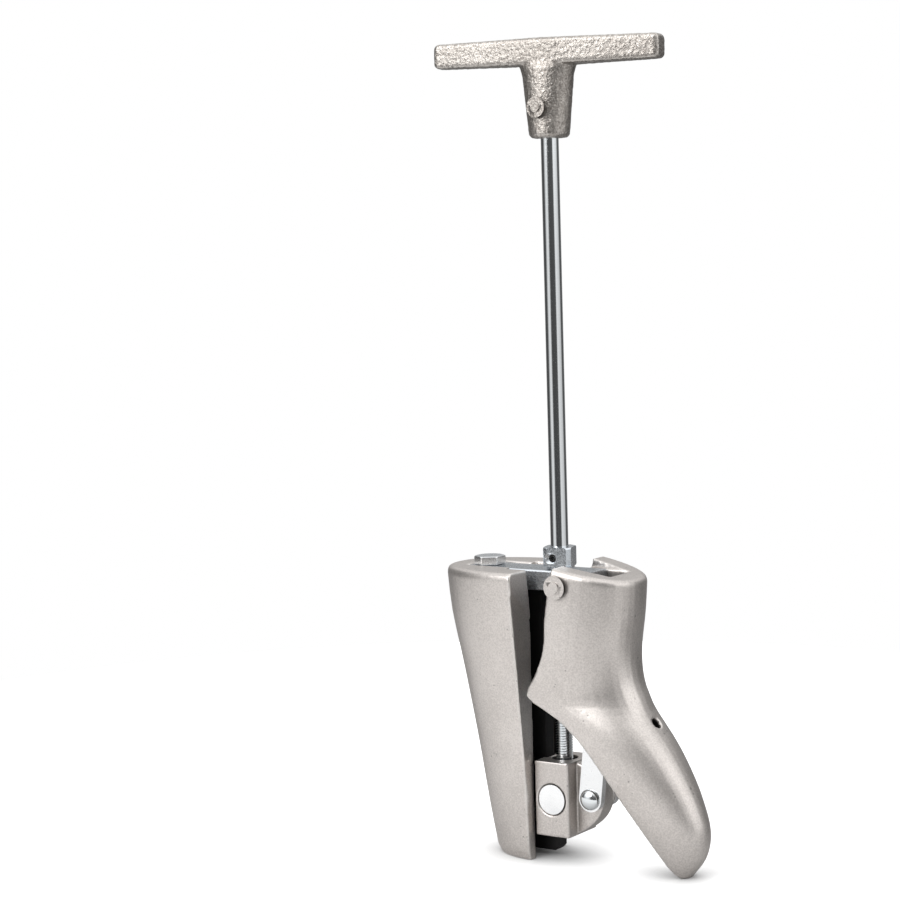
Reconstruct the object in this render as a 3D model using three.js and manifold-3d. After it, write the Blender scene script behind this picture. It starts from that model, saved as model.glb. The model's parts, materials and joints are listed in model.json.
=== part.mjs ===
// A boot instep stretcher. A T-handle turns a screw that is held in a flat bar. The screw lifts a guided
// block, and two links from the block swing a hinged foot away from the back casting.
// Millimetres. Pieces are shaped in the tool's own frame: the screw runs along Z, the toe points along +X,
// and z = 0 is the top face of the bar. The finished tool then leans back on its two castings.

import * as THREE from 'three';
import { mergeVertices } from 'three/addons/utils/BufferGeometryUtils.js';
import Module from 'manifold-3d';

const wasm = await Module();
wasm.setup();

// Stance and fits
const LEAN_DEGREES = 1.6;
const FLOOR_BELOW_BAR = 199;
const FIT_GAP = 0.3;
const SLIDE_GAP = 0.6;
const CUT_MARGIN = 5;
const JOIN_OVERLAP = 1;
const PIN_SUNK = 1;
const SPRING_PIN_WALL = 1.1;
const FLOOR_SLAB = 600;
const RIM_ROUNDNESS = 0.8;

// Screw
const ROD_DIAMETER = 12;
const ROD_ABOVE_BAR = 290;
const ROD_SHORT_OF_BLOCK = 5.5;
const ROD_IN_HUB = 34;

// T-handle
const HANDLE_TURN_DEGREES = 10;
const HANDLE_LENGTH = 162;
const HANDLE_MIDDLE_HEIGHT = 18;
const HANDLE_END_HEIGHT = 16.4;
const HANDLE_MIDDLE_DEPTH = 25;
const HANDLE_END_DEPTH = 15;
const HANDLE_EDGE_RADIUS = 2.5;
const HANDLE_END_INSET = 1.5;
const HUB_HEIGHT = 48;
const HUB_TOP_DIAMETER = 36;
const HUB_BOTTOM_DIAMETER = 27.5;
const HUB_EDGE_RADIUS = 2;
const HUB_FLARE = 6;
const HUB_FLARE_OUT = 2.5;
const HUB_IN_GRIP = 4;
const HANDLE_PIN_DIAMETER = 6;
const HANDLE_PIN_HEIGHT = 20;

// Collars and washers on the screw
const COLLAR_SIDE = 19.5;
const COLLAR_ACROSS_CORNERS = 26.6;
const COLLAR_TURN_DEGREES = 17;
const COLLAR_HEIGHT = 13.2;
const COLLAR_CHAMFER = 1.2;
const COLLAR_PIN_DIAMETER = 5;
const COLLAR_PIN_HEIGHT = 6;
const THRUST_WASHER_DIAMETER = 18;
const THRUST_WASHER_THICKNESS = 1.5;
const RETAINER_DIAMETER = 20;
const RETAINER_HEIGHT = 10;
const RETAINER_PIN_DIAMETER = 4;

// Hinge bar, its bolt and the hinge pin
const BAR_WIDTH = 25;
const BAR_THICKNESS = 14;
const BAR_REACH_BACK = 68;
const BAR_REACH_FRONT = 29.5;
const BAR_CHAMFER = 0.8;
const BOLT_FROM_BAR_END = 10.5;
const BOLT_BACK = BAR_REACH_BACK - BOLT_FROM_BAR_END;
const BOLT_DIAMETER = 12;
const BOLT_ACROSS_FLATS = 19;
const BOLT_HEAD_HEIGHT = 5.9;
const BOLT_CROWN_INSET = 0.5;
const BOLT_LENGTH = 44;
const HINGE_FORWARD = 18.7;
const HINGE_PIN_DIAMETER = 7;
const HINGE_PIN_SUNK = 4;

// Back casting: how far below the bar's top, half width, depth behind the front face
const BACK_FRONT = -14;
const BACK_STATIONS = [
  [-0.9, 42.4, 72.6],
  [30, 38.9, 70],
  [65, 34.9, 62.6],
  [95, 31.5, 56.8],
  [123, 28.5, 51.7],
  [150, 26.4, 47.2],
  [175, 25.1, 42.6],
  [206, 24.2, 35.5],
];
const BACK_FULLNESS = 2.2;
const BACK_RINGS = 15;
const BACK_ARC_STEPS = 30;
const BACK_TOP_RADIUS = 5;
const BACK_FOOT_RADIUS = 4;
const CHANNEL_WIDTH = 31;
const CHANNEL_MOUTH_WIDTH = 39.5;
const CHANNEL_MOUTH_DEPTH = 40;
const CHANNEL_DEPTH = 18;
const LAND_STEP = 0.8;
const LAND_STEP_OUTER_DEPTH = 6;
const LAND_STEP_INNER_DEPTH = 34;

// Guide rail and its screws
const RAIL_THICKNESS = 10;
const RAIL_FRONT = -11.6;
const STOP_FRONT = -3;
const STOP_HEIGHT = 12.5;
const STOP_GAP = 0.7;
const STOP_CHAMFER = 3;
const RAIL_SCREW_DIAMETER = 5;
const RAIL_SCREW_HEAD_DIAMETER = 8.5;
const RAIL_SCREW_HEAD_HEIGHT = 5;
const RAIL_SCREW_BITE = 10;
const RAIL_SCREW_WALL = 8;
const RAIL_SCREW_BELOW_BOLT = 14;
const RAIL_SCREW_PITCH = 92;

// Slider block, its barrel nut, lug and rivet
const BLOCK_TOP_DEPTH = 130;
const BLOCK_HEIGHT = 51.5;
const BLOCK_WIDTH = 36;
const BLOCK_BACK = -13;
const BLOCK_FRONT = 13.5;
const BLOCK_CORNER = 1;
const BLOCK_SCREW_HOLE = 18;
const NUT_DIAMETER = 20.5;
const NUT_MOUTH_DIAMETER = 22.4;
const NUT_MOUTH_DEPTH = 1.5;
const NUT_BELOW_TOP = 26;
const LUG_THICKNESS = 14;
const LUG_REACH = 21.5;
const LUG_TOP_DROP = 9;
const LUG_NOSE_HEIGHT = 14;
const LUG_EDGE_INSET = 1;
const LUG_BELLY_RISE = 10;
const RIVET_DIAMETER = 8;
const RIVET_HEAD_DIAMETER = 14.5;
const RIVET_HEAD_HEIGHT = 4;
const RIVET_FORWARD = 27.3;
const RIVET_BELOW_TOP = 24.1;

// Links and the bracket inside the foot
const LINK_THICKNESS = 5;
const LINK_WIDTH = 17.5;
const LINK_PIN_FORWARD = 34.2;
const LINK_PIN_DEPTH = 95.2;
const LINK_SLOT_PLAY = 1.7;
const LINK_SIDE_PLAY = 1;
const BRACKET_PIN_DIAMETER = 7;
const BRACKET_PIN_HEAD_DIAMETER = 10;
const BRACKET_PIN_HEAD_HEIGHT = 2;
const BRACKET_EYE_DIAMETER = 15;
const BRACKET_PAD_WIDTH = 18;
const BRACKET_SCREW_DEPTH = 99.5;
const BRACKET_SCREW_DIAMETER = 4;
const BRACKET_SCREW_BITE = 10;
const BRACKET_SCREW_HEAD_DIAMETER = 7.4;
const BRACKET_SCREW_HEAD_HEIGHT = 5;
const BRACKET_SCREW_SUNK = 5.5;
const BOSS_DIAMETER = 17;
const BOSS_LENGTH = 15;
const RIDGE_SAMPLE = 2;

// Foot casting: how far below the bar's top, rear or sole edge, front ridge, half width
const FOOT_STATIONS = [
  [0, 14.4, 63.4, 35],
  [27, 8.4, 61.8, 34.8],
  [52, 5.8, 58.5, 34.5],
  [67, -0.6, 59.4, 34.1],
  [77, -6.6, 62.1, 33.7],
  [82, -8.4, 64.5, 33.5],
  [87, -3.8, 66.6, 33.2],
  [94, 10.2, 70, 32.6],
  [102, 21.4, 75.9, 31.9],
  [115, 34.2, 85.8, 30.4],
  [132, 46.6, 96.3, 28],
  [150, 59, 105, 24.8],
  [172, 73.7, 111.2, 20],
  [188, 84.2, 108, 15.8],
  [195, 88.5, 103.3, 13],
  [199.5, 91.3, 99.4, 9.5],
  [203, 93.6, 96.6, 5],
];
const FOOT_RING_PITCH = 4.6;
const FOOT_ARC_STEPS = 22;
const FOOT_FULLNESS = 2.25;
const FOOT_TOP_RADIUS = 4;
const FOOT_WALL = 7;
const FOOT_DECK = 25;
const DECK_SLOPE = 0.19;
const DECK_LEVEL_FORWARD = 42;
const DECK_MOUTH_REAR = 19;
const DECK_MOUTH_WIDTH = 36;
const DECK_MOUTH_DEPTH = 0.5;
const FOOT_HOLLOW_DEPTH = 172;
const FOOT_SLOT_FRONT = 47.5;
const HOLLOW_FULLNESS = 3.25;
const HOLLOW_RINGS = 22;
const HOLLOW_ARC_STEPS = 14;

const ROUND_STEPS = 28;
const SMALL_ROUND_STEPS = 16;
const CORNER_STEPS = 4;
const DOME_STEPS = 4;
const RIM_SHARES = [0.5, 0.8, 1];

// Finishes
function finish(color, roughness, metalness) {
  return new THREE.MeshStandardMaterial({ color, roughness, metalness });
}
const castAluminium = () => finish(0xbdb7ae, 0.55, 0.9);
const sandCastAluminium = () => finish(0xaaa49b, 0.7, 0.9);
const polishedSteel = () => finish(0xd9dde0, 0.12, 1);
const zincSteel = () => finish(0xb9c0c6, 0.35, 1);
const blackSteel = () => finish(0x1b1b1c, 0.5, 0.6);

// Solids: closed three.js geometry in, joined or cut, closed geometry out
function solidOf(geometry) {
  const bare = geometry.clone();
  bare.deleteAttribute('normal');
  bare.deleteAttribute('uv');
  const welded = mergeVertices(bare, 1e-4);
  return new wasm.Manifold(new wasm.Mesh({
    numProp: 3,
    vertProperties: new Float32Array(welded.attributes.position.array),
    triVerts: new Uint32Array(welded.index.array),
  }));
}

function geometryOf(solid) {
  const mesh = solid.getMesh();
  const geometry = new THREE.BufferGeometry();
  geometry.setAttribute('position', new THREE.BufferAttribute(mesh.vertProperties, 3));
  geometry.setIndex(new THREE.BufferAttribute(mesh.triVerts, 1));
  geometry.computeVertexNormals();
  return geometry;
}

function cut(body, ...tools) {
  return geometryOf(tools.reduce((solid, tool) => solid.subtract(solidOf(tool)), solidOf(body)));
}

function join(...bodies) {
  return geometryOf(bodies.slice(1).reduce((solid, body) => solid.add(solidOf(body)), solidOf(bodies[0])));
}

// Shapes that many pieces use
function block(xLow, xHigh, width, zLow, zHigh) {
  const box = new THREE.BoxGeometry(xHigh - xLow, width, zHigh - zLow);
  return box.translate((xLow + xHigh) / 2, 0, (zLow + zHigh) / 2);
}

function roundAlongY(diameter, length, x, z, steps = ROUND_STEPS) {
  return new THREE.CylinderGeometry(diameter / 2, diameter / 2, length, steps).translate(x, 0, z);
}

function roundAlongZ(diameter, zLow, zHigh, x = 0, steps = ROUND_STEPS) {
  const round = new THREE.CylinderGeometry(diameter / 2, diameter / 2, zHigh - zLow, steps);
  return round.rotateX(Math.PI / 2).translate(x, 0, (zLow + zHigh) / 2);
}

function roundAlongX(diameter, xLow, xHigh, z, steps = SMALL_ROUND_STEPS) {
  const round = new THREE.CylinderGeometry(diameter / 2, diameter / 2, xHigh - xLow, steps);
  return round.rotateZ(-Math.PI / 2).translate((xLow + xHigh) / 2, 0, z);
}

function turnedAboutZ(profile, steps = ROUND_STEPS) {
  const points = profile.map(([radius, z]) => new THREE.Vector2(radius, z));
  return new THREE.LatheGeometry(points, steps).rotateX(Math.PI / 2);
}

// An outline drawn in X and Z, given a width that is centred on the tool's middle plane
function plateAcross(outline, width, curveSegments = 8) {
  const plate = new THREE.ExtrudeGeometry(outline, { depth: width, bevelEnabled: false, curveSegments });
  return plate.rotateX(Math.PI / 2).translate(0, width / 2, 0);
}

function outlineOf(points) {
  return new THREE.Shape(points.map(([x, z]) => new THREE.Vector2(x, z)));
}

// An outline drawn in Y and Z, given a length along X
function slabAlongX(outline, xLow, xHigh) {
  const slab = new THREE.ExtrudeGeometry(outline, { depth: xHigh - xLow, bevelEnabled: false });
  return slab.rotateX(Math.PI / 2).rotateZ(Math.PI / 2).translate(xLow, 0, 0);
}

// A skin through rings of equal count, each counter-clockwise from above, lowest ring first, with flat ends
function loft(rings) {
  const count = rings[0].length;
  const positions = rings.flat().flatMap((point) => point.toArray());
  const faces = [];
  for (let level = 0; level < rings.length - 1; level += 1) {
    for (let step = 0; step < count; step += 1) {
      const next = (step + 1) % count;
      const [a, b] = [level * count + step, level * count + next];
      faces.push(a, b, b + count, a, b + count, a + count);
    }
  }
  const capWith = (ring, first, turn) => {
    const middle = ring.reduce((sum, point) => sum.add(point), new THREE.Vector3()).divideScalar(count);
    const centre = positions.length / 3;
    positions.push(...middle.toArray());
    for (let step = 0; step < count; step += 1) {
      const pair = [first + step, first + (step + 1) % count];
      faces.push(centre, ...(turn ? pair.reverse() : pair));
    }
  };
  capWith(rings[0], 0, true);
  capWith(rings.at(-1), (rings.length - 1) * count, false);
  const geometry = new THREE.BufferGeometry();
  geometry.setAttribute('position', new THREE.Float32BufferAttribute(positions, 3));
  geometry.setIndex(faces);
  return geometry;
}

// Smooth values between stations, each row starting with its depth below the bar's top
function smoothStations(stations) {
  const depths = stations.map((row) => row[0]);
  const values = stations.flatMap((row) => row.slice(1));
  const curve = new THREE.CubicInterpolant(depths, values, stations[0].length - 1);
  return (depth) => [...curve.evaluate(depth)];
}

// One half of a rounded section: from one side, round the bulge, to the other side
function bulgeRing(flatX, bulge, halfWidth, z, steps, fullness) {
  const power = 2 / fullness;
  const points = [];
  for (let step = 0; step <= steps; step += 1) {
    const angle = Math.PI * (step / steps - 0.5);
    const along = Math.max(Math.cos(angle), 0) ** power;
    const across = Math.sign(Math.sin(angle)) * Math.abs(Math.sin(angle)) ** power;
    points.push(new THREE.Vector3(flatX + bulge * along, Math.sign(bulge) * halfWidth * across, z));
  }
  return points;
}

// How far a rounded rim has drawn in at a height above where the rounding starts
const rimInset = (radius, rise) => radius - Math.sqrt(Math.max(radius ** 2 - rise ** 2, 0));

// Places that several pieces share
const ROD_TOP = ROD_ABOVE_BAR + ROD_IN_HUB;
const HINGE = new THREE.Vector2(HINGE_FORWARD, -BAR_THICKNESS / 2);
const RIVET = new THREE.Vector2(RIVET_FORWARD, -BLOCK_TOP_DEPTH - RIVET_BELOW_TOP);
const LINK_PIN = new THREE.Vector2(LINK_PIN_FORWARD, -LINK_PIN_DEPTH);
const CHANNEL_BACK = BACK_FRONT - CHANNEL_DEPTH;
const RAIL_SCREW_UPPER = BOLT_LENGTH + RAIL_SCREW_BELOW_BOLT;
const RAIL_SCREW_DEPTHS = { upper: RAIL_SCREW_UPPER, lower: RAIL_SCREW_UPPER + RAIL_SCREW_PITCH };
const BLOCK_BOTTOM_DEPTH = BLOCK_TOP_DEPTH + BLOCK_HEIGHT;
const NUT_DEPTH = BLOCK_TOP_DEPTH + NUT_BELOW_TOP;
const ROD_BELOW_BAR = BLOCK_BOTTOM_DEPTH - ROD_SHORT_OF_BLOCK;
const RAIL_BOTTOM_DEPTH = BLOCK_BOTTOM_DEPTH + STOP_GAP + STOP_HEIGHT;
const LINK_INNER = LUG_THICKNESS / 2 + FIT_GAP;
const LINK_OUTER = LINK_INNER + LINK_THICKNESS;
const WASHER_TOP = FIT_GAP + THRUST_WASHER_THICKNESS;
const COLLAR_BOTTOM = WASHER_TOP + FIT_GAP;
const COLLAR_PIN_Z = COLLAR_BOTTOM + COLLAR_PIN_HEIGHT;
const RETAINER_TOP = -BAR_THICKNESS - FIT_GAP;
const RETAINER_PIN_Z = RETAINER_TOP - RETAINER_HEIGHT / 2;
const HANDLE_PIN_Z = ROD_ABOVE_BAR + HANDLE_PIN_HEIGHT;
const lean = THREE.MathUtils.degToRad(LEAN_DEGREES);
const holeFor = (diameter) => diameter + 2 * FIT_GAP;

const backAt = smoothStations(BACK_STATIONS);
const footAt = smoothStations(FOOT_STATIONS);
const ridgeAt = (depth) => new THREE.Vector2(footAt(depth)[1], -depth);

// Everything under the floor, seen from the leaning tool
function underFloor() {
  const slab = new THREE.BoxGeometry(FLOOR_SLAB, FLOOR_SLAB, FLOOR_SLAB).translate(0, 0, -FLOOR_SLAB / 2);
  return slab.rotateY(lean).translate(0, 0, -FLOOR_BELOW_BAR);
}

// The back casting: a tapering half round with a channel down its flat face and a seat for the bar
function backCasting() {
  const top = BACK_STATIONS[0][0];
  const bottom = BACK_STATIONS.at(-1)[0];
  const rimStart = top + BACK_TOP_RADIUS;
  const rings = [];
  const addRing = (depth, inset) => {
    const [halfWidth, bulge] = backAt(depth);
    rings.push(bulgeRing(
      BACK_FRONT, inset - bulge, halfWidth - inset, -depth, BACK_ARC_STEPS, BACK_FULLNESS,
    ));
  };
  for (let ring = 0; ring <= BACK_RINGS; ring += 1) {
    const depth = bottom + (rimStart - bottom) * (ring / BACK_RINGS);
    const footRise = BACK_FOOT_RADIUS - (FLOOR_BELOW_BAR - depth);
    addRing(depth, rimInset(BACK_FOOT_RADIUS, Math.min(Math.max(footRise, 0), BACK_FOOT_RADIUS)));
  }
  for (const share of RIM_SHARES) {
    const rise = BACK_TOP_RADIUS * share;
    addRing(rimStart - rise, rimInset(BACK_TOP_RADIUS, rise) * RIM_ROUNDNESS);
  }
  const barSeat = block(
    -BAR_REACH_BACK - FIT_GAP, CHANNEL_BACK + CUT_MARGIN,
    holeFor(BAR_WIDTH), -BAR_THICKNESS - FIT_GAP, CUT_MARGIN,
  );
  const boltHole = roundAlongZ(holeFor(BOLT_DIAMETER), -BOLT_LENGTH - FIT_GAP, CUT_MARGIN, -BOLT_BACK);
  const cuts = [channel(), barSeat, boltHole, underFloor(), ...landSteps()];
  for (const depth of Object.values(RAIL_SCREW_DEPTHS)) {
    const headSeat = CHANNEL_BACK - RAIL_SCREW_WALL;
    const rear = BACK_FRONT - backAt(depth)[1] - CUT_MARGIN;
    const front = CHANNEL_BACK + CUT_MARGIN;
    cuts.push(roundAlongX(holeFor(RAIL_SCREW_DIAMETER), headSeat - CUT_MARGIN, front, -depth));
    cuts.push(roundAlongX(holeFor(RAIL_SCREW_HEAD_DIAMETER), rear, headSeat, -depth));
  }
  return cut(loft(rings), ...cuts);
}

// The channel is straight, and opens out towards its top
function channel() {
  const [half, mouth] = [CHANNEL_WIDTH / 2, CHANNEL_MOUTH_WIDTH / 2];
  const bottom = -BACK_STATIONS.at(-1)[0] - CUT_MARGIN;
  const outline = outlineOf([
    [-half, bottom], [half, bottom], [half, -CHANNEL_MOUTH_DEPTH], [mouth, 0],
    [mouth, CUT_MARGIN], [-mouth, CUT_MARGIN], [-mouth, 0], [-half, -CHANNEL_MOUTH_DEPTH],
  ]);
  return slabAlongX(outline, CHANNEL_BACK, BACK_FRONT + CUT_MARGIN);
}

// The two lands beside the channel are dressed back below a slanting line near their tops
function landSteps() {
  return [-1, 1].map((side) => {
    const outline = new THREE.Shape();
    const outer = side * (BACK_STATIONS[0][1] + CUT_MARGIN);
    const inner = side * (CHANNEL_WIDTH / 2 - FIT_GAP);
    const bottom = BACK_STATIONS.at(-1)[0] + CUT_MARGIN;
    outline.moveTo(outer, -LAND_STEP_OUTER_DEPTH);
    outline.lineTo(inner, -LAND_STEP_INNER_DEPTH);
    outline.lineTo(inner, -bottom);
    outline.lineTo(outer, -bottom);
    outline.closePath();
    return slabAlongX(outline, BACK_FRONT - LAND_STEP, BACK_FRONT + CUT_MARGIN);
  });
}

// The rail: a flat black bar on edge in the channel, with a stop nose at its foot
function guideRail() {
  const back = CHANNEL_BACK + FIT_GAP;
  const top = -BAR_THICKNESS - FIT_GAP;
  const bottom = -RAIL_BOTTOM_DEPTH;
  const outline = outlineOf([
    [back, bottom],
    [STOP_FRONT - STOP_CHAMFER, bottom],
    [STOP_FRONT, bottom + STOP_CHAMFER],
    [STOP_FRONT, bottom + STOP_HEIGHT],
    [RAIL_FRONT, bottom + STOP_HEIGHT],
    [RAIL_FRONT, top],
    [back, top],
  ]);
  const holes = Object.values(RAIL_SCREW_DEPTHS).map((depth) => roundAlongX(
    holeFor(RAIL_SCREW_DIAMETER), back - CUT_MARGIN, back + RAIL_SCREW_BITE + FIT_GAP, -depth,
  ));
  return cut(plateAcross(outline, RAIL_THICKNESS), ...holes);
}

function railScrew(depth) {
  const seat = CHANNEL_BACK - RAIL_SCREW_WALL - FIT_GAP;
  const tip = CHANNEL_BACK + FIT_GAP + RAIL_SCREW_BITE;
  const shank = roundAlongX(RAIL_SCREW_DIAMETER, seat - JOIN_OVERLAP, tip, -depth);
  const head = roundAlongX(RAIL_SCREW_HEAD_DIAMETER, seat - RAIL_SCREW_HEAD_HEIGHT, seat, -depth);
  return join(head, shank);
}

// The flat bar that carries the screw, the bolt and the hinge
function hingeBar() {
  const half = BAR_WIDTH / 2;
  const edge = BAR_CHAMFER;
  const section = outlineOf([
    [-half + edge, -BAR_THICKNESS], [half - edge, -BAR_THICKNESS],
    [half, -BAR_THICKNESS + edge], [half, -edge],
    [half - edge, 0], [-half + edge, 0],
    [-half, -edge], [-half, -BAR_THICKNESS + edge],
  ]);
  const length = BAR_REACH_BACK + BAR_REACH_FRONT;
  const bar = plateAcross(section, length).rotateZ(Math.PI / 2).translate(length / 2 - BAR_REACH_BACK, 0, 0);
  const through = [-BAR_THICKNESS - CUT_MARGIN, CUT_MARGIN];
  return cut(
    bar,
    roundAlongZ(holeFor(ROD_DIAMETER), ...through),
    roundAlongZ(holeFor(BOLT_DIAMETER), ...through, -BOLT_BACK),
    roundAlongY(holeFor(HINGE_PIN_DIAMETER), BAR_WIDTH + CUT_MARGIN, HINGE.x, HINGE.y, SMALL_ROUND_STEPS),
  );
}

function barBolt() {
  const seat = FIT_GAP;
  const corner = BOLT_ACROSS_FLATS / Math.sqrt(3);
  const hexagon = new THREE.CylinderGeometry(corner, corner, BOLT_HEAD_HEIGHT, 6).rotateX(Math.PI / 2);
  hexagon.translate(0, 0, seat + BOLT_HEAD_HEIGHT / 2);
  const top = seat + BOLT_HEAD_HEIGHT;
  const chamfer = corner - BOLT_ACROSS_FLATS / 2;
  const crown = turnedAboutZ([
    [0, seat],
    [corner + JOIN_OVERLAP, seat],
    [corner + JOIN_OVERLAP, top - chamfer],
    [BOLT_ACROSS_FLATS / 2 - BOLT_CROWN_INSET, top],
    [0, top],
  ]);
  const head = geometryOf(solidOf(hexagon).intersect(solidOf(crown)));
  const shank = roundAlongZ(BOLT_DIAMETER, -BOLT_LENGTH, seat + JOIN_OVERLAP, 0, SMALL_ROUND_STEPS);
  return join(head, shank).translate(-BOLT_BACK, 0, 0);
}

function washer(outer, inner, zLow, zHigh) {
  return turnedAboutZ([
    [inner / 2, zLow], [outer / 2, zLow], [outer / 2, zHigh], [inner / 2, zHigh], [inner / 2, zLow],
  ]);
}

// A rolled spring pin: a short tube with a through hole
function springPin(diameter, length) {
  const bore = diameter - 2 * SPRING_PIN_WALL;
  const pin = new THREE.CylinderGeometry(diameter / 2, diameter / 2, length, SMALL_ROUND_STEPS);
  const hole = new THREE.CylinderGeometry(bore / 2, bore / 2, length + CUT_MARGIN, SMALL_ROUND_STEPS);
  return cut(pin, hole);
}

// The screw: one round rod from the handle's hub to below the block, cross-drilled for its three pins
function driveRod() {
  const rod = roundAlongZ(ROD_DIAMETER, -ROD_BELOW_BAR, ROD_TOP);
  const across = ROD_DIAMETER + CUT_MARGIN;
  return cut(
    rod,
    roundAlongY(holeFor(HANDLE_PIN_DIAMETER), across, 0, HANDLE_PIN_Z, SMALL_ROUND_STEPS),
    roundAlongY(holeFor(COLLAR_PIN_DIAMETER), across, 0, COLLAR_PIN_Z, SMALL_ROUND_STEPS),
    roundAlongY(holeFor(RETAINER_PIN_DIAMETER), across, 0, RETAINER_PIN_Z, SMALL_ROUND_STEPS),
  );
}

// A solid collar with a chamfered upper edge
function collarRound(diameter, zLow, zHigh) {
  const radius = diameter / 2;
  return turnedAboutZ([
    [0, zLow], [radius, zLow], [radius, zHigh - COLLAR_CHAMFER], [radius - COLLAR_CHAMFER, zHigh], [0, zHigh],
  ]);
}

function drillCollar(body, zLow, zHigh, pinDiameter, pinZ) {
  return cut(
    body,
    roundAlongZ(holeFor(ROD_DIAMETER), zLow - CUT_MARGIN, zHigh + CUT_MARGIN),
    roundAlongY(holeFor(pinDiameter), COLLAR_ACROSS_CORNERS + CUT_MARGIN, 0, pinZ, SMALL_ROUND_STEPS),
  );
}

// The collar over the bar is square with rounded corners, and stands turned from the line of its pin
function thrustCollar() {
  const [zLow, zHigh] = [COLLAR_BOTTOM, COLLAR_BOTTOM + COLLAR_HEIGHT];
  const square = block(-COLLAR_SIDE / 2, COLLAR_SIDE / 2, COLLAR_SIDE, zLow, zHigh);
  square.rotateZ(THREE.MathUtils.degToRad(COLLAR_TURN_DEGREES));
  const trim = collarRound(COLLAR_ACROSS_CORNERS, zLow, zHigh);
  const body = geometryOf(solidOf(square).intersect(solidOf(trim)));
  return drillCollar(body, zLow, zHigh, COLLAR_PIN_DIAMETER, COLLAR_PIN_Z);
}

function retainingCollar() {
  const zLow = RETAINER_TOP - RETAINER_HEIGHT;
  const body = collarRound(RETAINER_DIAMETER, zLow, RETAINER_TOP);
  return drillCollar(body, zLow, RETAINER_TOP, RETAINER_PIN_DIAMETER, RETAINER_PIN_Z);
}

// The T-handle: a tapering grip cast in one with its hub
function tHandle() {
  const gripBottom = ROD_ABOVE_BAR + HUB_HEIGHT;
  const middleZ = gripBottom + HANDLE_MIDDLE_HEIGHT / 2;
  const half = HANDLE_LENGTH / 2;
  const ringAt = (x, height, depth, inset) => {
    const corner = HANDLE_EDGE_RADIUS;
    const outline = new THREE.Shape();
    const [w, h] = [depth / 2 - inset, height / 2 - inset];
    outline.moveTo(-w + corner, -h);
    outline.lineTo(w - corner, -h);
    outline.absarc(w - corner, -h + corner, corner, -Math.PI / 2, 0);
    outline.absarc(w - corner, h - corner, corner, 0, Math.PI / 2);
    outline.absarc(-w + corner, h - corner, corner, Math.PI / 2, Math.PI);
    outline.absarc(-w + corner, -h + corner, corner, Math.PI, 1.5 * Math.PI);
    const points = outline.getPoints(CORNER_STEPS);
    points.pop();
    return points.map((point) => new THREE.Vector3(point.x, point.y, x));
  };
  const rings = [
    ringAt(-half, HANDLE_END_HEIGHT, HANDLE_END_DEPTH, HANDLE_END_INSET),
    ringAt(-half + HANDLE_EDGE_RADIUS, HANDLE_END_HEIGHT, HANDLE_END_DEPTH, 0),
    ringAt(0, HANDLE_MIDDLE_HEIGHT, HANDLE_MIDDLE_DEPTH, 0),
    ringAt(half - HANDLE_EDGE_RADIUS, HANDLE_END_HEIGHT, HANDLE_END_DEPTH, 0),
    ringAt(half, HANDLE_END_HEIGHT, HANDLE_END_DEPTH, HANDLE_END_INSET),
  ];
  const grip = loft(rings).rotateY(Math.PI / 2).rotateX(Math.PI / 2).translate(0, 0, middleZ);
  const [low, high] = [HUB_BOTTOM_DIAMETER / 2, HUB_TOP_DIAMETER / 2];
  const ovalAt = (z, along, across) => Array.from({ length: ROUND_STEPS }, (_, step) => {
    const angle = 2 * Math.PI * (step / ROUND_STEPS);
    return new THREE.Vector3(along * Math.cos(angle), across * Math.sin(angle), z);
  });
  const inGrip = HANDLE_MIDDLE_DEPTH / 2 - FIT_GAP;
  const hub = loft([
    ovalAt(ROD_ABOVE_BAR, low - HUB_EDGE_RADIUS, low - HUB_EDGE_RADIUS),
    ovalAt(ROD_ABOVE_BAR + HUB_EDGE_RADIUS, low, low),
    ovalAt(gripBottom - HUB_FLARE, high, low),
    ovalAt(gripBottom - HUB_FLARE / 3, high + HUB_FLARE_OUT / 2, low),
    ovalAt(gripBottom + FIT_GAP, high + HUB_FLARE_OUT, (low + inGrip) / 2),
    ovalAt(gripBottom + HUB_IN_GRIP, high + HUB_FLARE_OUT, inGrip),
  ]);
  const casting = join(hub, grip).rotateZ(THREE.MathUtils.degToRad(HANDLE_TURN_DEGREES));
  return cut(
    casting,
    roundAlongZ(holeFor(ROD_DIAMETER), ROD_ABOVE_BAR - CUT_MARGIN, ROD_TOP + FIT_GAP),
    roundAlongY(
      holeFor(HANDLE_PIN_DIAMETER), HUB_TOP_DIAMETER + CUT_MARGIN, 0, HANDLE_PIN_Z, SMALL_ROUND_STEPS,
    ),
  );
}

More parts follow.
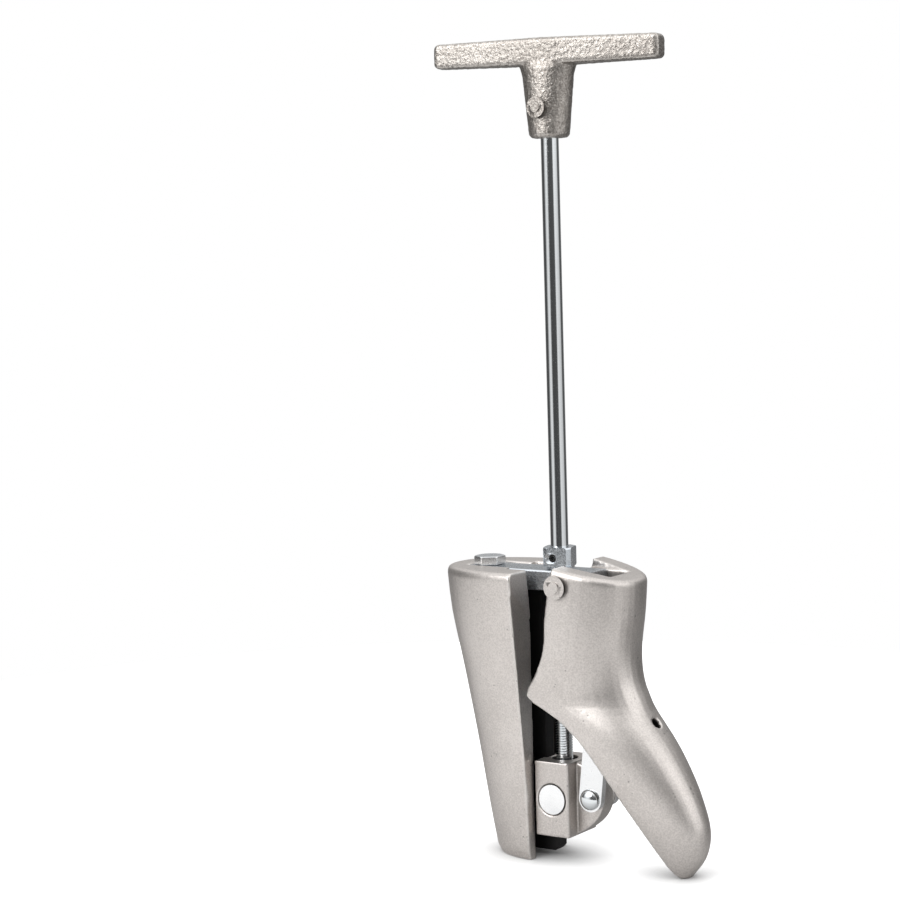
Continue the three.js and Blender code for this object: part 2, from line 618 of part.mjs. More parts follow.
// The slider block: a casting that straddles the rail and carries the nut, with a lug for the links
function sliderBlock() {
  const width = BLOCK_WIDTH;
  const [top, bottom] = [-BLOCK_TOP_DEPTH, -BLOCK_BOTTOM_DEPTH];
  const plan = outlineOf([
    [BLOCK_BACK, -width / 2], [BLOCK_FRONT - BLOCK_CORNER, -width / 2],
    [BLOCK_FRONT, -width / 2 + BLOCK_CORNER], [BLOCK_FRONT, width / 2 - BLOCK_CORNER],
    [BLOCK_FRONT - BLOCK_CORNER, width / 2], [BLOCK_BACK, width / 2],
  ]);
  const body = new THREE.ExtrudeGeometry(plan, { depth: BLOCK_HEIGHT, bevelEnabled: false });
  body.translate(0, 0, bottom);
  const noseX = BLOCK_FRONT + LUG_REACH;
  const root = BLOCK_FRONT - BLOCK_CORNER;
  const lug = new THREE.Shape();
  const [lugTop, lugBottom] = [top - LUG_EDGE_INSET, bottom + LUG_EDGE_INSET];
  lug.moveTo(root, lugTop);
  lug.lineTo(root, lugBottom);
  lug.lineTo(BLOCK_FRONT, lugBottom);
  lug.quadraticCurveTo(noseX, lugBottom + LUG_BELLY_RISE, noseX, top - LUG_TOP_DROP - LUG_NOSE_HEIGHT);
  lug.lineTo(noseX, top - LUG_TOP_DROP);
  lug.lineTo(BLOCK_FRONT, lugTop);
  lug.closePath();
  const nutMouths = [-1, 1].map((side) => (
    roundAlongY(NUT_MOUTH_DIAMETER, 2 * NUT_MOUTH_DEPTH, 0, -NUT_DEPTH).translate(0, side * width / 2, 0)
  ));
  return cut(
    join(body, plateAcross(lug, LUG_THICKNESS)),
    roundAlongZ(BLOCK_SCREW_HOLE, bottom - CUT_MARGIN, top + CUT_MARGIN),
    roundAlongY(holeFor(NUT_DIAMETER), width + CUT_MARGIN, 0, -NUT_DEPTH),
    ...nutMouths,
    block(
      BLOCK_BACK - CUT_MARGIN, RAIL_FRONT + SLIDE_GAP,
      RAIL_THICKNESS + 2 * SLIDE_GAP, bottom - CUT_MARGIN, top + CUT_MARGIN,
    ),
    roundAlongY(holeFor(RIVET_DIAMETER), LUG_THICKNESS + CUT_MARGIN, RIVET.x, RIVET.y, SMALL_ROUND_STEPS),
  );
}

function barrelNut() {
  const length = BLOCK_WIDTH - FIT_GAP;
  const nut = roundAlongY(NUT_DIAMETER, length, 0, -NUT_DEPTH);
  return cut(nut, roundAlongZ(holeFor(ROD_DIAMETER), -NUT_DEPTH - NUT_DIAMETER, -NUT_DEPTH + NUT_DIAMETER));
}

// A pin with a rounded head at both ends, across the links
function headedPin(diameter, headDiameter, headHeight, place) {
  const inner = LINK_OUTER + FIT_GAP;
  const dome = [];
  for (let step = 0; step <= DOME_STEPS; step += 1) {
    const angle = (Math.PI / 2) * (1 - step / DOME_STEPS);
    dome.push(new THREE.Vector2(headDiameter / 2 * Math.cos(angle), inner + headHeight * Math.sin(angle)));
  }
  dome.push(new THREE.Vector2(diameter / 2, inner));
  const lower = dome.map((point) => new THREE.Vector2(point.x, -point.y));
  const pin = new THREE.LatheGeometry([...lower, ...dome.reverse()], SMALL_ROUND_STEPS);
  return pin.translate(place.x, 0, place.y);
}

// A link: a flat strap with a round hole for the lug's rivet and a slotted eye for the bracket's pin
function link(side) {
  const span = LINK_PIN.clone().sub(RIVET);
  const length = span.length();
  const half = LINK_WIDTH / 2;
  const outline = new THREE.Shape();
  outline.absarc(0, 0, half, Math.PI, 0);
  outline.absarc(0, length + LINK_SLOT_PLAY, half, 0, Math.PI);
  outline.closePath();
  const rivetHole = new THREE.Path().absarc(0, 0, holeFor(RIVET_DIAMETER) / 2, 0, 2 * Math.PI, true);
  const slotRadius = BRACKET_PIN_DIAMETER / 2 + LINK_SIDE_PLAY;
  const slot = new THREE.Path();
  slot.absarc(0, length + LINK_SLOT_PLAY, slotRadius, Math.PI, 0, true);
  slot.absarc(0, length - LINK_SLOT_PLAY, slotRadius, 0, Math.PI, true);
  outline.holes.push(rivetHole, slot);
  const strap = plateAcross(outline, LINK_THICKNESS);
  strap.rotateY(Math.atan2(span.x, span.y));
  return strap.translate(RIVET.x, side * (LINK_INNER + LINK_THICKNESS / 2), RIVET.y);
}

// Where the bracket's screw enters the foot's ridge, and the outward direction there
const SCREW_MOUTH = ridgeAt(BRACKET_SCREW_DEPTH);
const ridgeAbove = ridgeAt(BRACKET_SCREW_DEPTH - RIDGE_SAMPLE);
const ridgeRun = ridgeAt(BRACKET_SCREW_DEPTH + RIDGE_SAMPLE).sub(ridgeAbove).normalize();
const SCREW_OUT = new THREE.Vector2(-ridgeRun.y, ridgeRun.x);
const alongScrew = (distance) => SCREW_MOUTH.clone().addScaledVector(SCREW_OUT, -distance);

// A round bar on the bracket screw's line, between two distances in from the ridge
function roundOnScrewLine(diameter, from, to, steps = SMALL_ROUND_STEPS) {
  const round = new THREE.CylinderGeometry(diameter / 2, diameter / 2, to - from, steps);
  const middle = alongScrew((from + to) / 2);
  round.rotateX(Math.PI / 2).rotateY(Math.atan2(SCREW_OUT.x, SCREW_OUT.y));
  return round.translate(middle.x, 0, middle.y);
}

const SCREW_SEAT = BRACKET_SCREW_SUNK + BRACKET_SCREW_HEAD_HEIGHT + FIT_GAP;
const BRACKET_FACE = BOSS_LENGTH + FIT_GAP;

// The bracket: an eye for the links' pin on a tapering arm whose flat end seats on the foot's boss
function linkBracket() {
  const face = alongScrew(BRACKET_FACE);
  const run = ridgeRun.clone().multiplyScalar(BRACKET_PAD_WIDTH / 2);
  const back = LINK_PIN.clone().sub(face);
  const heading = Math.atan2(back.y, back.x);
  const outline = new THREE.Shape();
  outline.moveTo(face.x - run.x, face.y - run.y);
  const quarter = Math.PI / 2;
  outline.absarc(LINK_PIN.x, LINK_PIN.y, BRACKET_EYE_DIAMETER / 2, heading - quarter, heading + quarter);
  outline.lineTo(face.x + run.x, face.y + run.y);
  outline.closePath();
  return cut(
    plateAcross(outline, 2 * (LINK_INNER - FIT_GAP)),
    roundAlongY(
      holeFor(BRACKET_PIN_DIAMETER), LUG_THICKNESS + CUT_MARGIN, LINK_PIN.x, LINK_PIN.y, SMALL_ROUND_STEPS,
    ),
    roundOnScrewLine(
      holeFor(BRACKET_SCREW_DIAMETER),
      BRACKET_FACE - JOIN_OVERLAP, BRACKET_FACE + BRACKET_SCREW_BITE + FIT_GAP,
    ),
  );
}

function bracketScrew() {
  const head = roundOnScrewLine(BRACKET_SCREW_HEAD_DIAMETER, BRACKET_SCREW_SUNK, SCREW_SEAT - FIT_GAP);
  const shank = roundOnScrewLine(
    BRACKET_SCREW_DIAMETER, SCREW_SEAT - FIT_GAP - JOIN_OVERLAP, BRACKET_FACE + BRACKET_SCREW_BITE,
  );
  return join(head, shank);
}

// The foot: a hollow last, open at its rear and sole, with a slotted deck that takes the bar
function footCasting() {
  const top = FOOT_STATIONS[0][0];
  const bottom = FOOT_STATIONS.at(-1)[0];
  const rings = [];
  const addRing = (depth, inset) => {
    const [rear, front, halfWidth] = footAt(depth);
    const reach = front - rear - inset;
    const ring = bulgeRing(rear, reach, halfWidth - inset, -depth, FOOT_ARC_STEPS, FOOT_FULLNESS);
    const tilt = DECK_SLOPE * Math.max(1 - (depth - top) / FOOT_DECK, 0);
    ring.forEach((point) => { point.z += tilt * (DECK_LEVEL_FORWARD - point.x); });
    rings.push(ring);
  };
  const rimStart = top + FOOT_TOP_RADIUS;
  const levels = Math.round((bottom - rimStart) / FOOT_RING_PITCH);
  for (let level = 0; level <= levels; level += 1) {
    addRing(bottom + (rimStart - bottom) * (level / levels), 0);
  }
  for (const share of RIM_SHARES) {
    const rise = FOOT_TOP_RADIUS * share;
    addRing(rimStart - rise, rimInset(FOOT_TOP_RADIUS, rise) * RIM_ROUNDNESS);
  }
  const slotWidth = BAR_WIDTH + 2 * SLIDE_GAP;
  const slotRear = FOOT_STATIONS[0][1] - FOOT_DECK;
  const deckTop = CUT_MARGIN + DECK_SLOPE * (DECK_LEVEL_FORWARD - slotRear);
  const slot = block(slotRear, FOOT_SLOT_FRONT, slotWidth, -FOOT_DECK - CUT_MARGIN, deckTop);
  const widest = 2 * FOOT_STATIONS[0][3] + CUT_MARGIN;
  const shell = solidOf(loft(rings)).subtract(solidOf(footHollow()));
  const boss = solidOf(roundOnScrewLine(BOSS_DIAMETER, FOOT_WALL / 2, BOSS_LENGTH));
  return cut(
    geometryOf(shell.add(boss)),
    slot,
    deckMouth(slotWidth, slotRear, deckTop),
    roundAlongY(holeFor(HINGE_PIN_DIAMETER), widest, HINGE.x, HINGE.y, SMALL_ROUND_STEPS),
    roundOnScrewLine(holeFor(BRACKET_SCREW_HEAD_DIAMETER), -CUT_MARGIN, SCREW_SEAT),
    roundOnScrewLine(holeFor(BRACKET_SCREW_DIAMETER), SCREW_SEAT - JOIN_OVERLAP, BOSS_LENGTH + CUT_MARGIN),
    underFloor(),
  );
}

// The deck's mouth: above the bar the slot widens towards the rear
function deckMouth(slotWidth, rear, top) {
  const widening = (DECK_MOUTH_WIDTH - slotWidth) / 2 / (FOOT_SLOT_FRONT - DECK_MOUTH_REAR);
  const rearHalf = slotWidth / 2 + widening * (FOOT_SLOT_FRONT - rear);
  const plan = outlineOf([
    [FOOT_SLOT_FRONT, -slotWidth / 2], [FOOT_SLOT_FRONT, slotWidth / 2], [rear, rearHalf], [rear, -rearHalf],
  ]);
  const mouth = new THREE.ExtrudeGeometry(plan, { depth: top + DECK_MOUTH_DEPTH, bevelEnabled: false });
  return mouth.translate(0, 0, -DECK_MOUTH_DEPTH);
}

// The foot's inside, which runs out through its rear and sole
function footHollow() {
  const rings = [];
  for (let ring = 0; ring <= HOLLOW_RINGS; ring += 1) {
    const depth = FOOT_HOLLOW_DEPTH + (FOOT_DECK - FOOT_HOLLOW_DEPTH) * (ring / HOLLOW_RINGS);
    const [rear, front, halfWidth] = footAt(depth);
    const back = rear - CUT_MARGIN;
    rings.push(bulgeRing(
      back, front - FOOT_WALL - back, halfWidth - FOOT_WALL, -depth, HOLLOW_ARC_STEPS, HOLLOW_FULLNESS,
    ));
  }
  return loft(rings);
}

// The assembly
const tool = new THREE.Group();

function place(name, geometry, material) {
  const mesh = new THREE.Mesh(geometry, material);
  mesh.name = name;
  tool.add(mesh);
  return mesh;
}

place('back_casting', backCasting(), castAluminium());
place('guide_rail', guideRail(), blackSteel());
for (const [level, depth] of Object.entries(RAIL_SCREW_DEPTHS)) {
  place(`rail_screw_${level}`, railScrew(depth), zincSteel());
}
place('hinge_bar', hingeBar(), zincSteel());
place('bar_bolt', barBolt(), zincSteel());
const hingePinLength = 2 * (footAt(-HINGE.y)[2] - HINGE_PIN_SUNK);
const hingePin = place('hinge_pin', springPin(HINGE_PIN_DIAMETER, hingePinLength), blackSteel());
hingePin.position.set(HINGE.x, 0, HINGE.y);

place('drive_rod', driveRod(), polishedSteel());
place('t_handle', tHandle(), sandCastAluminium());
const handlePinLength = HUB_BOTTOM_DIAMETER - 2 * PIN_SUNK;
const handlePin = place('handle_pin', springPin(HANDLE_PIN_DIAMETER, handlePinLength), blackSteel());
handlePin.position.z = HANDLE_PIN_Z;
const thrustWasher = washer(THRUST_WASHER_DIAMETER, holeFor(ROD_DIAMETER), FIT_GAP, WASHER_TOP);
place('thrust_washer', thrustWasher, zincSteel());
place('thrust_collar', thrustCollar(), zincSteel());
const collarPinLength = COLLAR_SIDE - 2 * PIN_SUNK;
const collarPin = place('collar_pin', springPin(COLLAR_PIN_DIAMETER, collarPinLength), blackSteel());
collarPin.position.z = COLLAR_PIN_Z;
place('retaining_collar', retainingCollar(), zincSteel());
const retainerPinLength = RETAINER_DIAMETER - 2 * PIN_SUNK;
const retainerPin = place(
  'retaining_pin', springPin(RETAINER_PIN_DIAMETER, retainerPinLength), blackSteel(),
);
retainerPin.position.z = RETAINER_PIN_Z;

place('slider_block', sliderBlock(), castAluminium());
place('barrel_nut', barrelNut(), zincSteel());
place(
  'lug_rivet',
  headedPin(RIVET_DIAMETER, RIVET_HEAD_DIAMETER, RIVET_HEAD_HEIGHT, RIVET), polishedSteel(),
);
place('link_near', link(-1), zincSteel());
place('link_far', link(1), zincSteel());

place('foot_casting', footCasting(), castAluminium());
place('link_bracket', linkBracket(), zincSteel());
place(
  'bracket_pin',
  headedPin(BRACKET_PIN_DIAMETER, BRACKET_PIN_HEAD_DIAMETER, BRACKET_PIN_HEAD_HEIGHT, LINK_PIN), zincSteel(),
);
place('bracket_screw', bracketScrew(), blackSteel());

// Lean the tool back, then bring the middle of its footprint to the origin with the floor at z = 0
tool.rotation.y = -lean;
const stretcher = new THREE.Group();
stretcher.add(tool);
stretcher.updateMatrixWorld(true);
const box = new THREE.Box3().setFromObject(stretcher, true);
const middle = box.getCenter(new THREE.Vector3());
tool.position.set(-middle.x, -middle.y, -box.min.z);

export default stretcher;
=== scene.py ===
import bpy
import json
import math
from mathutils import Matrix, Vector

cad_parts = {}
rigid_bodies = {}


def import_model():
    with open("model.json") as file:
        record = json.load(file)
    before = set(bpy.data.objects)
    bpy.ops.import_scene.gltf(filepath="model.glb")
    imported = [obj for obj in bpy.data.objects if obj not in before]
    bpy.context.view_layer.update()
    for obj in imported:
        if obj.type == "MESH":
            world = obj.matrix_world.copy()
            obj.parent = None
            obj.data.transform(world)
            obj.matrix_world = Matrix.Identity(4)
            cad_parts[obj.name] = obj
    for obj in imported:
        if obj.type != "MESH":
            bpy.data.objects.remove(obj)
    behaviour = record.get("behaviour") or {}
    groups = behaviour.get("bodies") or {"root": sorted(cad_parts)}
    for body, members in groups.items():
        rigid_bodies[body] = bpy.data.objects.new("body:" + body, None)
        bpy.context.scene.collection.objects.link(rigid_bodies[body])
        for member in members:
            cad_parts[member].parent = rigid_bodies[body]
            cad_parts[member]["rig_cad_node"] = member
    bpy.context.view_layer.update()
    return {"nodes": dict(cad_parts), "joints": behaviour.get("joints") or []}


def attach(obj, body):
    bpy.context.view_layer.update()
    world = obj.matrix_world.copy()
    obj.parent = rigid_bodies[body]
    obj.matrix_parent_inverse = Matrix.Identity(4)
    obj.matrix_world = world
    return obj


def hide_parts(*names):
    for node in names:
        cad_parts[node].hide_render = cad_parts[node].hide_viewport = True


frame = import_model()

# The tool's own frame: the screw runs up it, the toe points along its X, and its origin lies on the screw
# where it leaves the top of the hinge bar. The whole tool leans back a little from upright.
MM = 0.001
joint_named = {joint["name"]: joint for joint in frame["joints"]}
screw_line = -Vector(joint_named["handle_spin"]["axis"])
lean = math.atan2(screw_line.x, screw_line.z)
to_world = Matrix.Translation(joint_named["handle_spin"]["pos_m"]) @ Matrix.Rotation(lean, 4, "Y")
from_world = to_world.inverted()


def tool_box(node):
    """Lowest and highest corner of a node, measured in the tool's own frame."""
    corners = [from_world @ vertex.co for vertex in frame["nodes"][node].data.vertices]
    low = Vector([min(corner[axis] for corner in corners) for axis in range(3)])
    high = Vector([max(corner[axis] for corner in corners) for axis in range(3)])
    return low, high


# The back casting: a tapering half-round of bead-blasted aluminium with a channel down its front.
# It comes out of a sand mould and is blasted, so every edge is soft and the skin is a fine even grain.
BACK_VOXEL = 0.85 * MM
SAME_POINT = 0.002 * MM
PIT_COLOUR = (0.2, 0.19, 0.18, 1)
WIDEST_PIT = 0.34
PAINTED_HOLLOW_SHADE_COLOUR = (0.05, 0.047, 0.045, 1)
CASTING_METALLIC = 0.93
RUBBED_SMOOTHER = 0.16

# A Mix node's sockets for colours share their names with those for numbers, so they go by their places.
MIX_FIRST_COLOUR = 6
MIX_SECOND_COLOUR = 7
MIX_COLOUR_RESULT = 2


def pick_only(piece):
    """Makes one piece the only one selected, and the active one."""
    bpy.ops.object.select_all(action="DESELECT")
    piece.select_set(True)
    bpy.context.view_layer.objects.active = piece


def edit_whole(piece, operator, **settings):
    """Runs one edit mode operator on the whole of a piece's mesh."""
    pick_only(piece)
    bpy.ops.object.mode_set(mode="EDIT")
    bpy.ops.mesh.select_all(action="SELECT")
    operator(**settings)
    bpy.ops.object.mode_set(mode="OBJECT")


def copy_of(node, name):
    """A separate mesh of a node's solid, with its loose triangles joined up."""
    pick_only(frame["nodes"][node])
    bpy.ops.object.duplicate()
    piece = bpy.context.object
    piece.name = name
    piece.data.name = name
    piece.parent = None
    del piece["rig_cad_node"]
    edit_whole(piece, bpy.ops.mesh.remove_doubles, threshold=SAME_POINT)
    return piece


def apply_modifier(piece, kind, **settings):
    """Adds one modifier with its settings, and applies it to the mesh."""
    pick_only(piece)
    modifier = piece.modifiers.new(kind.lower(), kind)
    for setting, value in settings.items():
        setattr(modifier, setting, value)
    bpy.ops.object.modifier_apply(modifier=modifier.name)


def cast_form(node, name, voxel, softening):
    """A cast piece: its solid with the skin drawn smooth and the edges rounded over."""
    piece = copy_of(node, name)
    apply_modifier(piece, "REMESH", mode="VOXEL", voxel_size=voxel)
    apply_modifier(piece, "SMOOTH", factor=0.5, iterations=softening)
    bpy.ops.object.shade_smooth()
    return piece


def fit(piece, node, body, material):
    """The finished piece takes the node's place on its body."""
    piece.data.materials.clear()
    piece.data.materials.append(material)
    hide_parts(node)
    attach(piece, body)


def new_group(name, inputs, outputs):
    """An empty shader group with number inputs and the outputs that are named."""
    group = bpy.data.node_groups.new(name, "ShaderNodeTree")
    for label, value in inputs.items():
        socket = group.interface.new_socket(name=label, in_out="INPUT", socket_type="NodeSocketFloat")
        socket.default_value = value
    for label in outputs:
        group.interface.new_socket(name=label, in_out="OUTPUT", socket_type="NodeSocketFloat")
    return group, group.nodes.new("NodeGroupInput").outputs, group.nodes.new("NodeGroupOutput").inputs


def put(tree, kind, links=None, **settings):
    """One shader node: settings first, then its inputs from numbers, colours or other nodes' outputs."""
    node = tree.nodes.new(kind)
    for setting, value in settings.items():
        setattr(node, setting, value)
    for socket, source in (links or {}).items():
        if isinstance(source, bpy.types.NodeSocket):
            tree.links.new(source, node.inputs[socket])
        else:
            node.inputs[socket].default_value = source
    return node


def noise(tree, place, scale, detail, roughness=0.5):
    """Cloudy noise from nought to one over the place that it is given."""
    return put(tree, "ShaderNodeTexNoise", {
        "Vector": place, "Scale": scale, "Detail": detail, "Roughness": roughness}).outputs["Fac"]


def rescale(tree, value, start, end, low=0.0, high=1.0):
    """Takes a value that runs from start to end, and makes it run from low to high and no further."""
    ranged = put(tree, "ShaderNodeMapRange", {
        "Value": value, "From Min": start, "From Max": end, "To Min": low, "To Max": high})
    return ranged.outputs["Result"]


def combine(tree, operation, first, second):
    """Two values put together by one step of arithmetic."""
    return put(tree, "ShaderNodeMath", {0: first, 1: second}, operation=operation).outputs["Value"]


def cast_skin_group():
    """Grain, small pits and cloudy tone of a blasted casting."""
    group, given, result = new_group(
        "cast_skin", {"Grain Scale": 900.0, "Pit Scale": 260.0, "Cloud Scale": 22.0},
        ["Tone", "Pits", "Height"])
    place = put(group, "ShaderNodeTexCoord").outputs["Object"]
    grain = noise(group, place, given["Grain Scale"], detail=4.0, roughness=0.6)
    clouds = noise(group, place, given["Cloud Scale"], detail=5.0, roughness=0.55)
    cells = put(group, "ShaderNodeTexVoronoi", {"Vector": place, "Scale": given["Pit Scale"]})
    scatter = noise(group, place, scale=60.0, detail=2.0)
    pit_width = rescale(group, scatter, start=0.5, end=0.75, high=WIDEST_PIT)
    pits = rescale(group, cells.outputs["Distance"], start=0.0, end=pit_width, low=1.0, high=0.0)
    tone = put(group, "ShaderNodeMix", {"Factor": 0.7, "A": clouds, "B": grain}, data_type="FLOAT")
    group.links.new(tone.outputs["Result"], result["Tone"])
    group.links.new(pits, result["Pits"])
    group.links.new(combine(group, "SUBTRACT", grain, pits), result["Height"])
    return group


def edge_wear_group():
    """Where handling has rubbed the edges bright: one on sharp outer edges, nought on flats."""
    group, given, result = new_group("edge_wear", {"Start": 0.51, "Full": 0.56, "Break Up": 40.0}, ["Worn"])
    place = put(group, "ShaderNodeTexCoord").outputs["Object"]
    bend = put(group, "ShaderNodeNewGeometry").outputs["Pointiness"]
    rub = noise(group, place, given["Break Up"], detail=3.0)
    edge = rescale(group, bend, given["Start"], given["Full"])
    patches = rescale(group, rub, start=0.3, end=0.55, low=0.4)
    group.links.new(combine(group, "MULTIPLY", edge, patches), result["Worn"])
    return group


def painted_hollow_shade_group():
    """Painted shade where a piece's own walls shut the light out: one in the open, nought deep in a hollow.
    """
    group, given, result = new_group("painted_hollow_shade", {"Reach": 40 * MM}, ["Open"])
    shelter = put(
        group, "ShaderNodeAmbientOcclusion", {"Distance": given["Reach"]}, samples=8, only_local=True)
    group.links.new(rescale(group, shelter.outputs["AO"], start=0.25, end=0.75), result["Open"])
    return group


cast_skin = cast_skin_group()
edge_wear = edge_wear_group()
painted_hollow_shade = painted_hollow_shade_group()


def new_material(name):
    """An empty material, with its node tree and the shader that it ends in."""
    material = bpy.data.materials.new(name)
    material.use_nodes = True
    tree = material.node_tree
    return material, tree, tree.nodes["Principled BSDF"]


def blend_colours(tree, factor, low, high, mode="MIX"):
    """One colour where the factor is nought, and another where it is one."""
    sources = {"Factor": factor, MIX_FIRST_COLOUR: low, MIX_SECOND_COLOUR: high}
    mix = put(tree, "ShaderNodeMix", sources, data_type="RGBA", blend_type=mode)
    return mix.outputs[MIX_COLOUR_RESULT]


def cast_aluminium(name, dark, light, edge, grain_scale, pit_scale, relief_depth, roughness):
    """Blasted aluminium: cloudy warm grey, dark pinholes, rubbed edges and painted shade in the hollows."""
    material, tree, surface = new_material(name)
    skin = put(tree, "ShaderNodeGroup", {
        "Grain Scale": grain_scale, "Pit Scale": pit_scale}, node_tree=cast_skin)
    wear = put(tree, "ShaderNodeGroup", node_tree=edge_wear).outputs["Worn"]
    open_to_light = put(tree, "ShaderNodeGroup", node_tree=painted_hollow_shade).outputs["Open"]
    tone = rescale(tree, skin.outputs["Tone"], start=0.42, end=0.58)
    base = blend_colours(tree, tone, dark, light)
    pitted = blend_colours(tree, skin.outputs["Pits"], base, PIT_COLOUR)
    worn = blend_colours(tree, wear, pitted, edge)
    # Painted shade: where the piece's own walls shut the light out, the colour is darkened towards near
    # black.
    with_painted_hollow_shade = blend_colours(tree, open_to_light, PAINTED_HOLLOW_SHADE_COLOUR, worn)
    rough = rescale(tree, wear, start=0.0, end=1.0, low=roughness, high=roughness - RUBBED_SMOOTHER)
    relief = put(tree, "ShaderNodeBump", {
        "Strength": 1.0, "Distance": relief_depth, "Height": skin.outputs["Height"]})
    tree.links.new(with_painted_hollow_shade, surface.inputs["Base Color"])
    tree.links.new(rough, surface.inputs["Roughness"])
    tree.links.new(relief.outputs["Normal"], surface.inputs["Normal"])
    surface.inputs["Metallic"].default_value = CASTING_METALLIC
    return material


blasted_casting = cast_aluminium(
    "blasted_casting", dark=(0.55, 0.515, 0.49, 1), light=(0.68, 0.64, 0.61, 1), edge=(0.82, 0.79, 0.76, 1),
    grain_scale=900.0, pit_scale=240.0, relief_depth=0.1 * MM, roughness=0.39)
back_casting = cast_form("back_casting", "back_shell", BACK_VOXEL, softening=7)
fit(back_casting, "back_casting", "root", blasted_casting)

# The guide rail: blackened flat steel on edge in the channel, with a stop nose at its foot for the block.
# It is sawn from bar and its edges are broken with a file.
RAIL_EDGE = 0.5 * MM
CRYSTAL_SCALE = 420.0
SCRATCH_SCALE = 260.0
SCRATCH_STRETCH = (1.0, 14.0, 3.0)
SCRATCH_DEPTH = 0.1 * MM
POLISHED_BETWEEN = 0.06
ROUGHENED_BY_SCRATCH = 0.1
EDGE_BRIGHTER = 1.25


def smooth_by_angle(piece, degrees):
    """Shades a piece smooth, apart from edges that are sharper than an angle."""
    pick_only(piece)
    bpy.ops.object.shade_smooth_by_angle(angle=math.radians(degrees))


def bevel_edges(piece, width, segments=2, angle=30):
    """Breaks the sharp edges, and keeps the flats between them flat to the light."""
    apply_modifier(
        piece, "BEVEL", width=width, segments=segments,
        limit_method="ANGLE", angle_limit=math.radians(angle))
    smooth_by_angle(piece, angle)
    apply_modifier(piece, "WEIGHTED_NORMAL", keep_sharp=True)


def plated_steel(name, colour, spangle, roughness, bump, metallic=1.0):
    """Plated or blackened steel: small crystal cells in the plating, faint scratches and bright edges."""
    material, tree, surface = new_material(name)
    place = put(tree, "ShaderNodeTexCoord").outputs["Object"]
    cells = put(tree, "ShaderNodeTexVoronoi", {"Vector": place, "Scale": CRYSTAL_SCALE, "Randomness": 1.0})
    stretched = put(tree, "ShaderNodeMapping", {"Vector": place, "Scale": SCRATCH_STRETCH})
    scratches = noise(tree, stretched.outputs["Vector"], SCRATCH_SCALE, detail=6.0, roughness=0.7)
    crystals = put(tree, "ShaderNodeSeparateColor", {"Color": cells.outputs["Color"]}).outputs["Red"]
    base = blend_colours(tree, combine(tree, "MULTIPLY", crystals, scratches), colour, spangle)
    wear = put(tree, "ShaderNodeGroup", node_tree=edge_wear).outputs["Worn"]
    bright = tuple(min(1.0, part * EDGE_BRIGHTER) for part in spangle[:3]) + (1,)
    rough = rescale(
        tree, scratches, start=0.3, end=0.7,
        low=roughness - POLISHED_BETWEEN, high=roughness + ROUGHENED_BY_SCRATCH)
    relief = put(tree, "ShaderNodeBump", {"Strength": bump, "Distance": SCRATCH_DEPTH, "Height": scratches})
    tree.links.new(blend_colours(tree, wear, base, bright), surface.inputs["Base Color"])
    tree.links.new(rough, surface.inputs["Roughness"])
    tree.links.new(relief.outputs["Normal"], surface.inputs["Normal"])
    surface.inputs["Metallic"].default_value = metallic
    return material


black_oxide = plated_steel(
    "black_oxide", colour=(0.005, 0.005, 0.0055, 1), spangle=(0.016, 0.0155, 0.0155, 1),
    roughness=0.4, bump=0.3, metallic=0.6)
guide_rail = copy_of("guide_rail", "stop_rail")
bevel_edges(guide_rail, RAIL_EDGE)
fit(guide_rail, "guide_rail", "root", black_oxide)

# The rail's screws: two zinc-plated steel screws that hold the rail from behind, through the back casting.
# Each has a round head with a hexagon socket, on a plain shank.
RAIL_SCREW_HEAD = 5 * MM
RAIL_SCREW_SHANK_RADIUS = 2.5 * MM
RAIL_SCREW_EDGE = 0.35 * MM
SHANK_BELOW_HEAD_TOP = 1 * MM
SOCKET_SHARE_OF_HEAD = 0.58
AXIS_TURN = {"X": (0, math.pi / 2, 0), "Y": (math.pi / 2, 0, 0), "Z": (0, 0, 0)}
zinc_plate = plated_steel(
    "zinc_plate", colour=(0.42, 0.46, 0.5, 1), spangle=(0.63, 0.66, 0.69, 1), roughness=0.24, bump=0.25)


def settle(piece):
    """Puts a piece's place, turn and size into its mesh."""
    pick_only(piece)
    bpy.ops.object.transform_apply(location=True, rotation=True, scale=True)


def finish_in_tool(piece):
    """Puts a piece that was modelled in the tool's frame where the tool stands."""
    settle(piece)
    piece.matrix_world = to_world
    settle(piece)
    edit_whole(piece, bpy.ops.mesh.normals_make_consistent, inside=False)
    apply_modifier(piece, "WEIGHTED_NORMAL", keep_sharp=True)


def add_round(name, radius, length, centre, axis, sides):
    """A round bar at its size and place in the tool's frame."""
    bpy.ops.object.select_all(action="DESELECT")
    bpy.ops.mesh.primitive_cylinder_add(
        vertices=sides, radius=radius, depth=length, location=centre, rotation=AXIS_TURN[axis])
    piece = bpy.context.object
    piece.name = name
    piece.data.name = name
    settle(piece)
    return piece


def carve(piece, cutter, operation="DIFFERENCE"):
    """Cuts one piece with another or joins the two, and throws the second away."""
    apply_modifier(piece, "BOOLEAN", object=cutter, operation=operation, solver="EXACT")
    bpy.data.objects.remove(cutter)


for level in ("upper", "lower"):
    node = f"rail_screw_{level}"
    low, high = tool_box(node)
    middle_z = (low.z + high.z) / 2
    head_radius = (high.y - low.y) / 2
    head_centre = (low.x + RAIL_SCREW_HEAD / 2, 0, middle_z)
    screw = add_round(f"socket_screw_{level}", head_radius, RAIL_SCREW_HEAD, head_centre, "X", sides=40)
    shank_length = high.x - low.x - SHANK_BELOW_HEAD_TOP
    shank_centre = (high.x - shank_length / 2, 0, middle_z)
    shank = add_round("shank", RAIL_SCREW_SHANK_RADIUS, shank_length, shank_centre, "X", sides=24)
    carve(screw, shank, "UNION")
    socket_radius = SOCKET_SHARE_OF_HEAD * head_radius
    carve(screw, add_round("socket", socket_radius, RAIL_SCREW_HEAD, (low.x, 0, middle_z), "X", sides=6))
    bevel_edges(screw, RAIL_SCREW_EDGE)
    finish_in_tool(screw)
    fit(screw, node, "root", zinc_plate)

